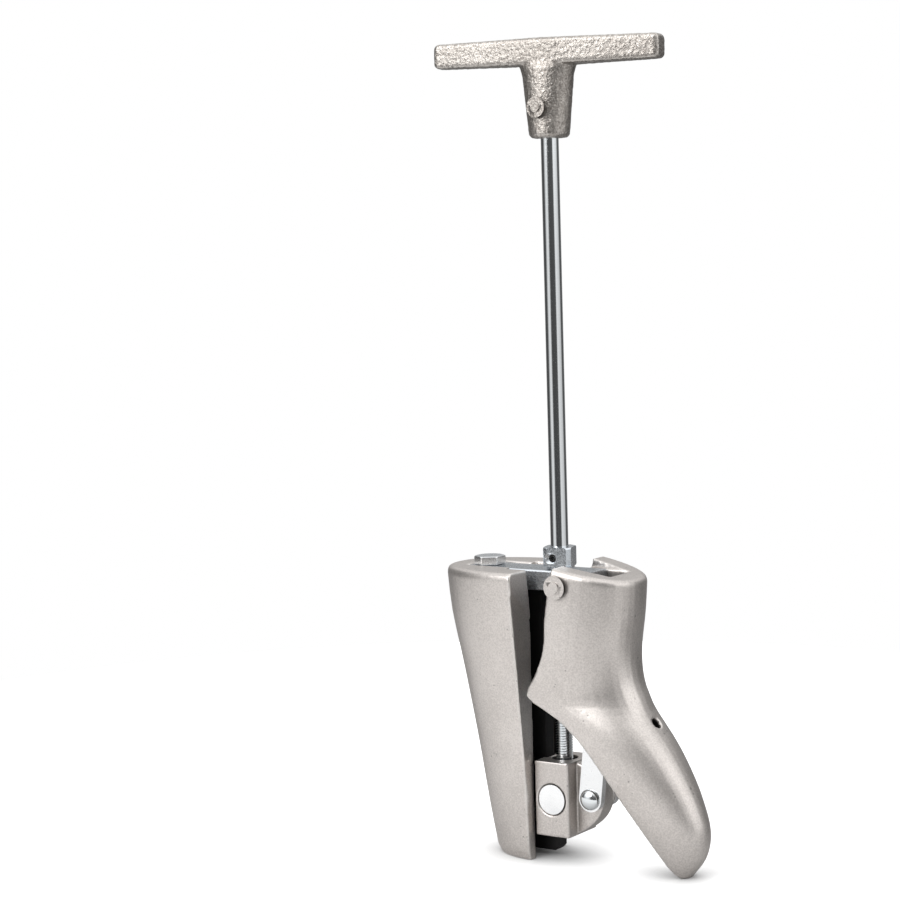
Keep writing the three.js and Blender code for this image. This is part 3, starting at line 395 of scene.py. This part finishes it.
# The hinge bar: 25 mm zinc-plated flat steel, bolted on the back casting, drilled for the screw and hinge.
# It is drawn stock, so its long edges are slightly rounded, and its plating shows fine crystals.
BAR_EDGE = 0.4 * MM
hinge_bar = copy_of("hinge_bar", "flat_bar")
bevel_edges(hinge_bar, BAR_EDGE)
fit(hinge_bar, "hinge_bar", "root", zinc_plate)

# The bar's bolt: a forged steel M12 hex bolt with a rounded crown, in brighter plating than the bar.
# It holds the bar down in its seat on the back casting.
BOLT_FLATS = 19 * MM
BOLT_SHANK = 12 * MM
BOLT_OVER_BAR = 0.3 * MM
BOLT_EDGE = 0.5 * MM
BOLT_SMOOTH_ANGLE = 25
CROWN_OVER_CORNERS = 1.06
CROWN_ROUNDING = 2.6 * MM
low, high = tool_box("bar_bolt")
bolt_x = (low.x + high.x) / 2
head_height = high.z - BOLT_OVER_BAR
bolt_corner = BOLT_FLATS / math.sqrt(3)
bolt = add_round("hex_bolt", bolt_corner, head_height, (bolt_x, 0, high.z - head_height / 2), "Z", sides=6)
bevel_edges(bolt, BOLT_EDGE, segments=3, angle=BOLT_SMOOTH_ANGLE)
crown_centre = (bolt_x, 0, high.z - head_height)
crown = add_round("crown", CROWN_OVER_CORNERS * bolt_corner, 2 * head_height, crown_centre, "Z", sides=64)
bevel_edges(crown, CROWN_ROUNDING, segments=6, angle=60)
carve(bolt, crown, "INTERSECT")
shank_length = high.z - head_height / 2 - low.z
shank_centre = (bolt_x, 0, low.z + shank_length / 2)
carve(bolt, add_round("shank", BOLT_SHANK / 2, shank_length, shank_centre, "Z", sides=40), "UNION")
smooth_by_angle(bolt, BOLT_SMOOTH_ANGLE)
finish_in_tool(bolt)
bolt_plate = plated_steel(
    "bolt_plate", colour=(0.66, 0.69, 0.72, 1), spangle=(0.82, 0.84, 0.86, 1), roughness=0.28, bump=0.3)
fit(bolt, "bar_bolt", "root", bolt_plate)

# The screw: a polished 12 mm steel rod that runs in the bar and carries a rolled M12 thread below it.
# One rod from the handle's hub down into the block, chamfered where the thread begins.
ROD_RADIUS = 6 * MM
ROD_CHAMFER = 0.6 * MM
THREAD_PITCH = 1.75 * MM
THREAD_DEPTH = 1.0 * MM
THREAD_BELOW_COLLAR = 1 * MM
CORE_INTO_ROD = 1 * MM
RIDGE_INTO_CORE = 0.2 * MM
RIDGE_HALF_FOOT = 0.45 * THREAD_PITCH
RIDGE_HALF_CREST = 0.1 * THREAD_PITCH
STEPS_A_TURN = 24
low, high = tool_box("drive_rod")
thread_top = tool_box("retaining_collar")[0].z - THREAD_BELOW_COLLAR
rod_centre = (0, 0, (high.z + thread_top) / 2)
rod = add_round("polished_screw", ROD_RADIUS, high.z - thread_top, rod_centre, "Z", sides=96)
bevel_edges(rod, ROD_CHAMFER, angle=60)
core_radius = ROD_RADIUS - THREAD_DEPTH
core_top = thread_top + CORE_INTO_ROD
core = add_round("core", core_radius, core_top - low.z, (0, 0, (core_top + low.z) / 2), "Z", sides=48)
bpy.ops.object.select_all(action="DESELECT")
bpy.ops.mesh.primitive_circle_add(vertices=4, radius=RIDGE_HALF_FOOT, location=(0, 0, 0))
ridge = bpy.context.object
ridge_profile = [
    (core_radius - RIDGE_INTO_CORE, -RIDGE_HALF_FOOT), (ROD_RADIUS, -RIDGE_HALF_CREST),
    (ROD_RADIUS, RIDGE_HALF_CREST), (core_radius - RIDGE_INTO_CORE, RIDGE_HALF_FOOT),
]
for vertex, (radius, height) in zip(ridge.data.vertices, ridge_profile):
    vertex.co = (radius, 0, height + low.z + THREAD_PITCH)
turns = math.floor((thread_top - low.z) / THREAD_PITCH) - 1
apply_modifier(
    ridge, "SCREW", axis="Z", angle=2 * math.pi, screw_offset=THREAD_PITCH, iterations=turns,
    steps=STEPS_A_TURN, render_steps=STEPS_A_TURN)
edit_whole(ridge, bpy.ops.mesh.fill_holes, sides=4)
bpy.ops.object.select_all(action="DESELECT")
for part in (ridge, core, rod):
    part.select_set(True)
bpy.context.view_layer.objects.active = rod
bpy.ops.object.join()
smooth_by_angle(rod, degrees=30)
finish_in_tool(rod)


def polished_steel():
    """Ground and polished steel: mirror bright, with the faint rings that the grinding left."""
    material, tree, surface = new_material("polished_steel")
    place = put(tree, "ShaderNodeTexCoord").outputs["Object"]
    rings = put(tree, "ShaderNodeMapping", {"Vector": place, "Scale": (0.2, 0.2, 60.0)})
    marks = noise(tree, rings.outputs["Vector"], scale=30.0, detail=5.0, roughness=0.6)
    tint = blend_colours(tree, marks, low=(0.7, 0.73, 0.75, 1), high=(0.83, 0.85, 0.86, 1))
    rough = rescale(tree, marks, start=0.3, end=0.7, low=0.07, high=0.16)
    tree.links.new(tint, surface.inputs["Base Color"])
    tree.links.new(rough, surface.inputs["Roughness"])
    surface.inputs["Metallic"].default_value = 1.0
    return material


mirror_polish = polished_steel()
fit(rod, "drive_rod", "handle", mirror_polish)

# The thrust washer and the two collars: zinc-plated steel, and they hold the screw up and down in the bar.
# The washer and the lower collar are turned rings, and the upper collar is square with its corners turned.
# Each collar is cross-drilled and pinned to the rod, with a countersunk mouth at the pin's hole.
RUNNING_FIT = 0.3 * MM
WASHER_RIM = 0.3 * MM
WASHER_EDGE = 0.2 * MM
COLLAR_SIDE = 19.5 * MM
COLLAR_TURN = 17
UPPER_COLLAR_RIM = 1.2 * MM
LOWER_COLLAR_RIM = 0.8 * MM
COLLAR_HOLE_MOUTH = 0.4 * MM
DRILL_OVERRUN = 4 * MM
FLARE_OVERRUN = 3 * MM


def turned_ring(name, node, rim):
    """A ring turned to its node's outer size, with a rounded rim, and bored for the rod."""
    low, high = tool_box(node)
    height = high.z - low.z
    centre = (0, 0, (low.z + high.z) / 2)
    ring = add_round(name, (high.x - low.x) / 2, height, centre, "Z", sides=96)
    bevel_edges(ring, rim, segments=3, angle=60)
    carve(ring, add_round("bore", ROD_RADIUS + RUNNING_FIT, 2 * height, centre, "Z", sides=64))
    return ring


def countersunk_cutter(radius, half_span, mouth, centre):
    """A round drill through both sides along Y, flaring to a wider mouth at each surface."""
    drill = add_round("drill", radius, 2 * (half_span + DRILL_OVERRUN), centre, "Y", sides=48)
    flare_depth = mouth + FLARE_OVERRUN
    for side in (-1, 1):
        bpy.ops.object.select_all(action="DESELECT")
        bpy.ops.mesh.primitive_cone_add(
            vertices=48, radius1=radius + flare_depth, radius2=radius, depth=flare_depth,
            location=(centre[0], side * (half_span - mouth + flare_depth / 2), centre[2]),
            rotation=(side * math.pi / 2, 0, 0))
        flare = bpy.context.object
        settle(flare)
        carve(drill, flare, "UNION")
    return drill


washer = turned_ring("thrust_ring", "thrust_washer", WASHER_RIM)
bevel_edges(washer, WASHER_EDGE)
finish_in_tool(washer)
fit(washer, "thrust_washer", "root", zinc_plate)

upper_collar = turned_ring("screw_collar", "thrust_collar", UPPER_COLLAR_RIM)
low, high = tool_box("thrust_collar")
bpy.ops.object.select_all(action="DESELECT")
bpy.ops.mesh.primitive_cube_add(
    size=COLLAR_SIDE, location=(0, 0, (low.z + high.z) / 2), rotation=(0, 0, math.radians(COLLAR_TURN)))
square = bpy.context.object
settle(square)
carve(upper_collar, square, "INTERSECT")
lower_collar = turned_ring("under_collar", "retaining_collar", LOWER_COLLAR_RIM)
for collar, node, pin_node in (
        (upper_collar, "thrust_collar", "collar_pin"), (lower_collar, "retaining_collar", "retaining_pin")):
    low, high = tool_box(pin_node)
    hole_radius = (high.z - low.z) / 2 + RUNNING_FIT
    hole_centre = (0, 0, (low.z + high.z) / 2)
    carve(collar, countersunk_cutter(hole_radius, COLLAR_SIDE / 2, COLLAR_HOLE_MOUTH, hole_centre))
    smooth_by_angle(collar, degrees=30)
    finish_in_tool(collar)
    fit(collar, node, "handle", zinc_plate)

# Spring pins: steel strip rolled into a split tube and driven through the collars, the hub and the hinge.
# They are black, and each sits a little below the surface of its hole.
SPRING_PIN_WALL = 1.1 * MM
SPRING_PIN_SLIT = 0.8 * MM
SPRING_PIN_EDGE = 0.2 * MM
SLIT_OVERRUN = 1 * MM


def spring_pin(name, node, body):
    """A split tube across the tool, of its node's length and diameter."""
    low, high = tool_box(node)
    centre = (low + high) / 2
    radius = (high.z - low.z) / 2
    length = high.y - low.y
    pin = add_round(name, radius, length, centre, "Y", sides=40)
    carve(pin, add_round("bore", radius - SPRING_PIN_WALL, 2 * length, centre, "Y", sides=32))
    bpy.ops.object.select_all(action="DESELECT")
    bpy.ops.mesh.primitive_cube_add(size=1, location=centre - Vector((radius, 0, 0)))
    slit = bpy.context.object
    slit.scale = (2 * SPRING_PIN_WALL + SLIT_OVERRUN, 2 * length, SPRING_PIN_SLIT)
    settle(slit)
    carve(pin, slit)
    bevel_edges(pin, SPRING_PIN_EDGE, angle=50)
    finish_in_tool(pin)
    fit(pin, node, body, black_oxide)


spring_pin("collar_roll_pin", "collar_pin", "handle")
spring_pin("under_roll_pin", "retaining_pin", "handle")
spring_pin("hub_roll_pin", "handle_pin", "handle")
spring_pin("hinge_roll_pin", "hinge_pin", "root")

# The T-handle: an aluminium grip and hub, cast in one in sand and left as it came from the mould.
# Its skin is coarse and pitted, its ends are rounded, and the pin's hole in the hub is drilled clean.
HANDLE_VOXEL = 0.65 * MM
MOULD_LUMP_SIZE = 2.4 * MM
MOULD_LUMP_HEIGHT = 0.6 * MM
HUB_PIN_SUNK = 1.0 * MM
HUB_HOLE_MOUTH = 0.6 * MM
handle = cast_form("t_handle", "cast_handle", HANDLE_VOXEL, softening=12)
mould_lumps = bpy.data.textures.new("mould_lumps", "CLOUDS")
mould_lumps.noise_scale = MOULD_LUMP_SIZE
mould_lumps.noise_depth = 3
apply_modifier(
    handle, "DISPLACE", texture=mould_lumps, texture_coords="LOCAL",
    strength=MOULD_LUMP_HEIGHT, mid_level=0.5)
apply_modifier(handle, "SMOOTH", factor=0.4, iterations=1)
rough_casting = cast_aluminium(
    "rough_casting", dark=(0.29, 0.263, 0.24, 1), light=(0.5, 0.47, 0.437, 1), edge=(0.9, 0.87, 0.83, 1),
    grain_scale=760.0, pit_scale=300.0, relief_depth=0.38 * MM, roughness=0.36)


def drill_for_pin(piece, pin_node, pin_sunk, mouth):
    """Drills a casting through for its pin, with a countersunk mouth on each side."""
    low, high = tool_box(pin_node)
    radius = (high.z - low.z) / 2 + RUNNING_FIT
    drill = countersunk_cutter(radius, (high.y - low.y) / 2 + pin_sunk, mouth, (low + high) / 2)
    finish_in_tool(drill)
    carve(piece, drill)
    smooth_by_angle(piece, degrees=35)


drill_for_pin(handle, "handle_pin", HUB_PIN_SUNK, HUB_HOLE_MOUTH)
fit(handle, "t_handle", "handle", rough_casting)

# The slider block: a small aluminium casting with a lug for the links, blasted like the back casting.
# It straddles the rail and is lifted by the screw through its barrel nut.
BLOCK_VOXEL = 0.55 * MM
block = cast_form("slider_block", "lift_block", BLOCK_VOXEL, softening=5)
fit(block, "slider_block", "block", blasted_casting)

# The barrel nut: a turned round of bright steel that lies in the block across the screw, bored for it.
# Its faced ends show as pale discs with a dark joint line round them.
NUT_EDGE = 0.4 * MM
low, high = tool_box("barrel_nut")
nut_radius = (high.z - low.z) / 2
nut_centre = (low + high) / 2
nut = add_round("cross_nut", nut_radius, high.y - low.y, nut_centre, "Y", sides=72)
carve(nut, add_round("bore", ROD_RADIUS + RUNNING_FIT, 3 * nut_radius, nut_centre, "Z", sides=48))
bevel_edges(nut, NUT_EDGE, angle=50)
finish_in_tool(nut)
bright_steel = plated_steel(
    "bright_steel", colour=(0.74, 0.75, 0.76, 1), spangle=(0.8, 0.81, 0.82, 1), roughness=0.2, bump=0.05)
fit(nut, "barrel_nut", "block", bright_steel)

# The lug's rivet and the bracket's pin: round-headed steel pins that the links turn on.
# The rivet's heads are polished domes, and the bracket's pin has low heads inside the foot.
RIVET_SHANK_RADIUS = 4 * MM
RIVET_HEAD = 4 * MM
BRACKET_PIN_RADIUS = 3.5 * MM
BRACKET_PIN_HEAD = 2 * MM
HEAD_EDGE = 0.2 * MM


def headed_pin(name, node, shank_radius, head_height, body, material):
    """A shank with a domed head at each end, across the tool."""
    low, high = tool_box(node)
    centre = (low + high) / 2
    length = high.y - low.y
    head_radius = (high.z - low.z) / 2
    pin = add_round(name, shank_radius, length - head_height, centre, "Y", sides=40)
    for side in (-1, 1):
        bpy.ops.object.select_all(action="DESELECT")
        bpy.ops.mesh.primitive_uv_sphere_add(segments=48, ring_count=24, radius=1, location=(0, 0, 0))
        dome = bpy.context.object
        edit_whole(
            dome, bpy.ops.mesh.bisect,
            plane_co=(0, 0, 0), plane_no=(0, side, 0), use_fill=True, clear_inner=True)
        dome.scale = (head_radius, head_height, head_radius)
        dome.location = (centre.x, centre.y + side * (length / 2 - head_height), centre.z)
        settle(dome)
        carve(pin, dome, "UNION")
    bevel_edges(pin, HEAD_EDGE, angle=50)
    finish_in_tool(pin)
    fit(pin, node, body, material)


headed_pin(
    "dome_rivet", "lug_rivet", RIVET_SHANK_RADIUS, RIVET_HEAD,
    "block", mirror_polish)
headed_pin(
    "bracket_dome_pin", "bracket_pin", BRACKET_PIN_RADIUS, BRACKET_PIN_HEAD,
    "foot", zinc_plate)

# The links: two straps cut from bright flat steel with rounded ends, one each side of the lug.
# Each has a round hole for the rivet and a slotted eye for the pin inside the foot.
LINK_HALF_WIDTH = 8.75 * MM
LINK_EDGE = 0.45 * MM
LINK_RIVET_HOLE_RADIUS = 4.3 * MM
SLOT_RADIUS = 4.5 * MM
SLOT_PLAY = 1.7 * MM
ABOVE_MIDDLE = 0.01 * MM
rivet_point = from_world @ Vector(joint_named["link_swing"]["pos_m"])
low, high = tool_box("bracket_pin")
upper_point = (low + high) / 2
link_run = Vector((upper_point.x - rivet_point.x, 0, upper_point.z - rivet_point.z))
for side_name in ("near", "far"):
    node = f"link_{side_name}"
    low, high = tool_box(node)
    thickness = high.y - low.y
    middle_y = (low.y + high.y) / 2
    link = add_round(f"strap_{side_name}", LINK_HALF_WIDTH, thickness, (0, middle_y, 0), "Y", sides=64)
    bpy.ops.object.mode_set(mode="EDIT")
    bpy.ops.mesh.select_all(action="DESELECT")
    bpy.ops.object.mode_set(mode="OBJECT")
    for vertex in link.data.vertices:
        vertex.select = vertex.co.z > ABOVE_MIDDLE
    bpy.ops.object.mode_set(mode="EDIT")
    bpy.ops.transform.translate(value=(0, 0, link_run.length + SLOT_PLAY))
    bpy.ops.object.mode_set(mode="OBJECT")
    rivet_centre = (0, middle_y, 0)
    carve(link, add_round("rivet_hole", LINK_RIVET_HOLE_RADIUS, 2 * thickness, rivet_centre, "Y", sides=40))
    for play in (-SLOT_PLAY, SLOT_PLAY):
        slot_centre = (0, middle_y, link_run.length + play)
        carve(link, add_round("slot_end", SLOT_RADIUS, 2 * thickness, slot_centre, "Y", sides=40))
    bevel_edges(link, LINK_EDGE, segments=3, angle=50)
    link.rotation_euler = (0, math.atan2(link_run.x, link_run.z), 0)
    link.location = (rivet_point.x, 0, rivet_point.z)
    finish_in_tool(link)
    fit(link, node, "links", bright_steel)

# The foot: a hollow aluminium last with a heel spur and a narrow toe, open at its rear and sole.
# It is blasted like the back casting, and drilled on both sides of its deck for the hinge pin.
FOOT_VOXEL = 0.9 * MM
HINGE_PIN_SUNK = 3.9 * MM
HINGE_HOLE_MOUTH = 1.2 * MM
foot = cast_form("foot_casting", "foot_last", FOOT_VOXEL, softening=6)
drill_for_pin(foot, "hinge_pin", HINGE_PIN_SUNK, HINGE_HOLE_MOUTH)
fit(foot, "foot_casting", "foot", blasted_casting)

# The bracket inside the foot: a steel arm that holds the links' upper pin, drawn against a boss by a screw.
# The screw's head is black and sits down a hole in the front ridge of the foot.
BRACKET_EDGE = 0.5 * MM
RIDGE_SCREW_EDGE = 0.3 * MM
bracket = copy_of("link_bracket", "pin_bracket")
bevel_edges(bracket, BRACKET_EDGE)
fit(bracket, "link_bracket", "foot", zinc_plate)
bracket_screw = copy_of("bracket_screw", "ridge_screw")
bevel_edges(bracket_screw, RIDGE_SCREW_EDGE)
fit(bracket_screw, "bracket_screw", "foot", black_oxide)

# The floor: wide matt white paper that runs out of sight in the white surround, so that no horizon shows.
# Its own glow bleaches it to a blank white, apart from a painted shade close round the tool's feet, where
# the glow is dimmed.
# The colour that it throws back on the tool is painted light on the near side and painted shade on the far
# side, where the tool's shadow falls.
FLOOR_RADIUS = 0.8
PAPER_DARK = (0.44, 0.44, 0.44, 1)
PAPER_LIGHT = (0.46, 0.46, 0.46, 1)
PAPER_ROUGHNESS = 0.9
PAPER_GLOW = 0.9
SHADE_REACH = 0.04
SHADE_POWER = 1.7
BOUNCE_NEAR_Y = -0.12
BOUNCE_FAR_Y = 0.1
BOUNCE_NEAR = 0.8
BOUNCE_FAR = 0.2
bpy.ops.object.select_all(action="DESELECT")
bpy.ops.mesh.primitive_circle_add(vertices=96, radius=FLOOR_RADIUS, fill_type="NGON", location=(0, 0, 0))
floor = bpy.context.object
floor.name = "paper_floor"
paper, tree, surface = new_material("white_paper")
fibre = put(tree, "ShaderNodeTexNoise", {"Scale": 3.0, "Detail": 3.0})
paper_tone = blend_colours(tree, fibre.outputs["Fac"], PAPER_DARK, PAPER_LIGHT)
to_the_eye = put(tree, "ShaderNodeLightPath").outputs["Is Camera Ray"]
across = put(tree, "ShaderNodeSeparateXYZ", {"Vector": put(tree, "ShaderNodeTexCoord").outputs["Object"]})
# Painted light and shade: for all but the camera's own view, the paper runs from light on the near side to
# dark on the far side.
bounce = rescale(tree, across.outputs["Y"], BOUNCE_NEAR_Y, BOUNCE_FAR_Y, BOUNCE_NEAR, BOUNCE_FAR)
# Painted shadow: the paper's glow is dimmed wherever the tool stands close over it.
shelter = put(tree, "ShaderNodeAmbientOcclusion", {"Distance": SHADE_REACH}, samples=16)
painted_contact_shade = combine(tree, "POWER", shelter.outputs["AO"], SHADE_POWER)
glow_with_painted_shade = blend_colours(tree, to_the_eye, (0, 0, 0, 1), painted_contact_shade)
tree.links.new(blend_colours(tree, to_the_eye, bounce, paper_tone), surface.inputs["Base Color"])
tree.links.new(glow_with_painted_shade, surface.inputs["Emission Color"])
surface.inputs["Roughness"].default_value = PAPER_ROUGHNESS
surface.inputs["Emission Strength"].default_value = PAPER_GLOW
floor.data.materials.append(paper)

# The light: a studio with tall bright panels to the left and right, and a dark room behind the camera.
# Polished steel shows these as upright stripes, and one large soft box from the left gives the shadows.
# Each panel stop is a bearing in degrees, round from the camera, and the brightness there.
CAMERA_AZIMUTH = 32.2
PANEL_STOPS = [
    (-180, 0.34), (-150, 0.3), (-125, 0.1), (-92, 0.12), (-78, 0.9), (-62, 1.3), (-46, 1.0), (-36, 0.09),
    (28, 0.12), (38, 1.25), (86, 0.95), (101, 0.2), (114, 0.08), (150, 0.3), (180, 0.34),
]
PANEL_FOOT = 0.7
PANEL_HEAD = 1.6
OVERHEAD = (1.3, 1.3, 1.3, 1)
SURROUND = (1, 1, 1, 1)
KEY_PLACE = Vector((-0.4, -1.75, 1.2))
KEY_AIM = Vector((0, 0, 0.2))
KEY_WIDTH = 1.0
KEY_HEIGHT = 1.2
KEY_POWER = 20
world = bpy.data.worlds.new("studio")
bpy.context.scene.world = world
world.use_nodes = True
tree = world.node_tree
direction = put(tree, "ShaderNodeTexCoord").outputs["Generated"]
faced = put(tree, "ShaderNodeMapping", {
    "Vector": direction, "Rotation": (0, 0, math.radians(90 - CAMERA_AZIMUTH))})
parts = put(tree, "ShaderNodeSeparateXYZ", {"Vector": faced.outputs["Vector"]}).outputs
bearing = combine(tree, "ARCTAN2", parts["Y"], parts["X"])
panels = put(tree, "ShaderNodeValToRGB", {"Fac": rescale(tree, bearing, -math.pi, math.pi)})
ramp = panels.color_ramp
while len(ramp.elements) < len(PANEL_STOPS):
    ramp.elements.new(0.5)
for element, (degrees, level) in zip(ramp.elements, PANEL_STOPS):
    element.position = (degrees + 180) / 360
    element.color = (level, level, level, 1)
rise = rescale(tree, parts["Z"], start=0.0, end=0.35, low=PANEL_FOOT, high=PANEL_HEAD)
upward = rescale(tree, parts["Z"], start=0.4, end=0.8)
lit_panels = blend_colours(tree, 1.0, panels.outputs["Color"], rise, mode="MULTIPLY")
studio = blend_colours(tree, upward, lit_panels, OVERHEAD)
to_the_eye = put(tree, "ShaderNodeLightPath").outputs["Is Camera Ray"]
tree.links.new(blend_colours(tree, to_the_eye, studio, SURROUND), tree.nodes["Background"].inputs["Color"])
bpy.ops.object.light_add(type="AREA", location=KEY_PLACE)
key_box = bpy.context.object
key_box.name = "key_box"
key_box.data.shape = "RECTANGLE"
key_box.data.size = KEY_WIDTH
key_box.data.size_y = KEY_HEIGHT
key_box.data.energy = KEY_POWER
key_box.rotation_euler = (KEY_AIM - KEY_PLACE).to_track_quat("-Z", "Y").to_euler()

# The camera: a long lens level with the upper part of the rod, turned from the tool's side towards its toe
# by about a third of a right angle. Its frame is shifted sideways, because the tool stands right of the
# middle of the picture.
CAMERA_ELEVATION = 6.1
CAMERA_DISTANCE = 1.59
CAMERA_AIM = Vector((0, 0, 0.28))
FRAME_PIXELS = 900
FOCAL_PIXELS = 2365
SHIFT_RIGHT_PIXELS = 126
SHIFT_DOWN_PIXELS = 0.8
SENSOR = 36
azimuth = math.radians(CAMERA_AZIMUTH)
elevation = math.radians(CAMERA_ELEVATION)
toward = Vector((
    math.sin(azimuth) * math.cos(elevation), -math.cos(azimuth) * math.cos(elevation), math.sin(elevation)))
bpy.ops.object.camera_add(location=CAMERA_AIM + toward * CAMERA_DISTANCE)
camera = bpy.context.object
camera.rotation_euler = (-toward).to_track_quat("-Z", "Y").to_euler()
camera.data.sensor_width = SENSOR
camera.data.lens = SENSOR * FOCAL_PIXELS / FRAME_PIXELS
camera.data.shift_x = -SHIFT_RIGHT_PIXELS / FRAME_PIXELS
camera.data.shift_y = SHIFT_DOWN_PIXELS / FRAME_PIXELS
bpy.context.scene.camera = camera
bpy.context.scene.view_settings.view_transform = "Standard"
